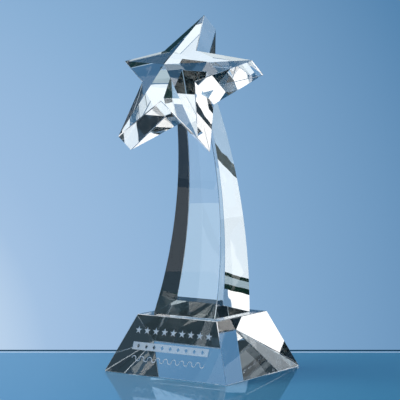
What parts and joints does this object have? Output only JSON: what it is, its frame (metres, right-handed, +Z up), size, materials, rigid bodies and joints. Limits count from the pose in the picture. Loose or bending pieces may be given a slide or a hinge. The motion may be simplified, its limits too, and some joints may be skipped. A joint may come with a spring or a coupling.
{
  "type": "star trophy",
  "caption": "Clear optical crystal award: a thick faceted five-pointed star bonded to a curved, tapering column on a sloped rectangular base with a frosted row of stars, bar and wavy line.",
  "frame": {"origin": "centre of the base block's underside, on the surface that the trophy stands on", "axes": "+Z up the column, -Y towards the engraved front, +X to the right as seen from the front"},
  "size_m": [0.1148, 0.1097, 0.2676],
  "materials": {
    "crystal": "clear optical crystal, ground flat and polished",
    "adhesive": "clear light-cured adhesive, the same refractive index as the crystal"
  },
  "bodies": {
    "root": {"base_block": "crystal", "column": "crystal", "star": "crystal", "base_bond": "adhesive", "star_bond": "adhesive"}
  },
  "joints": []
}
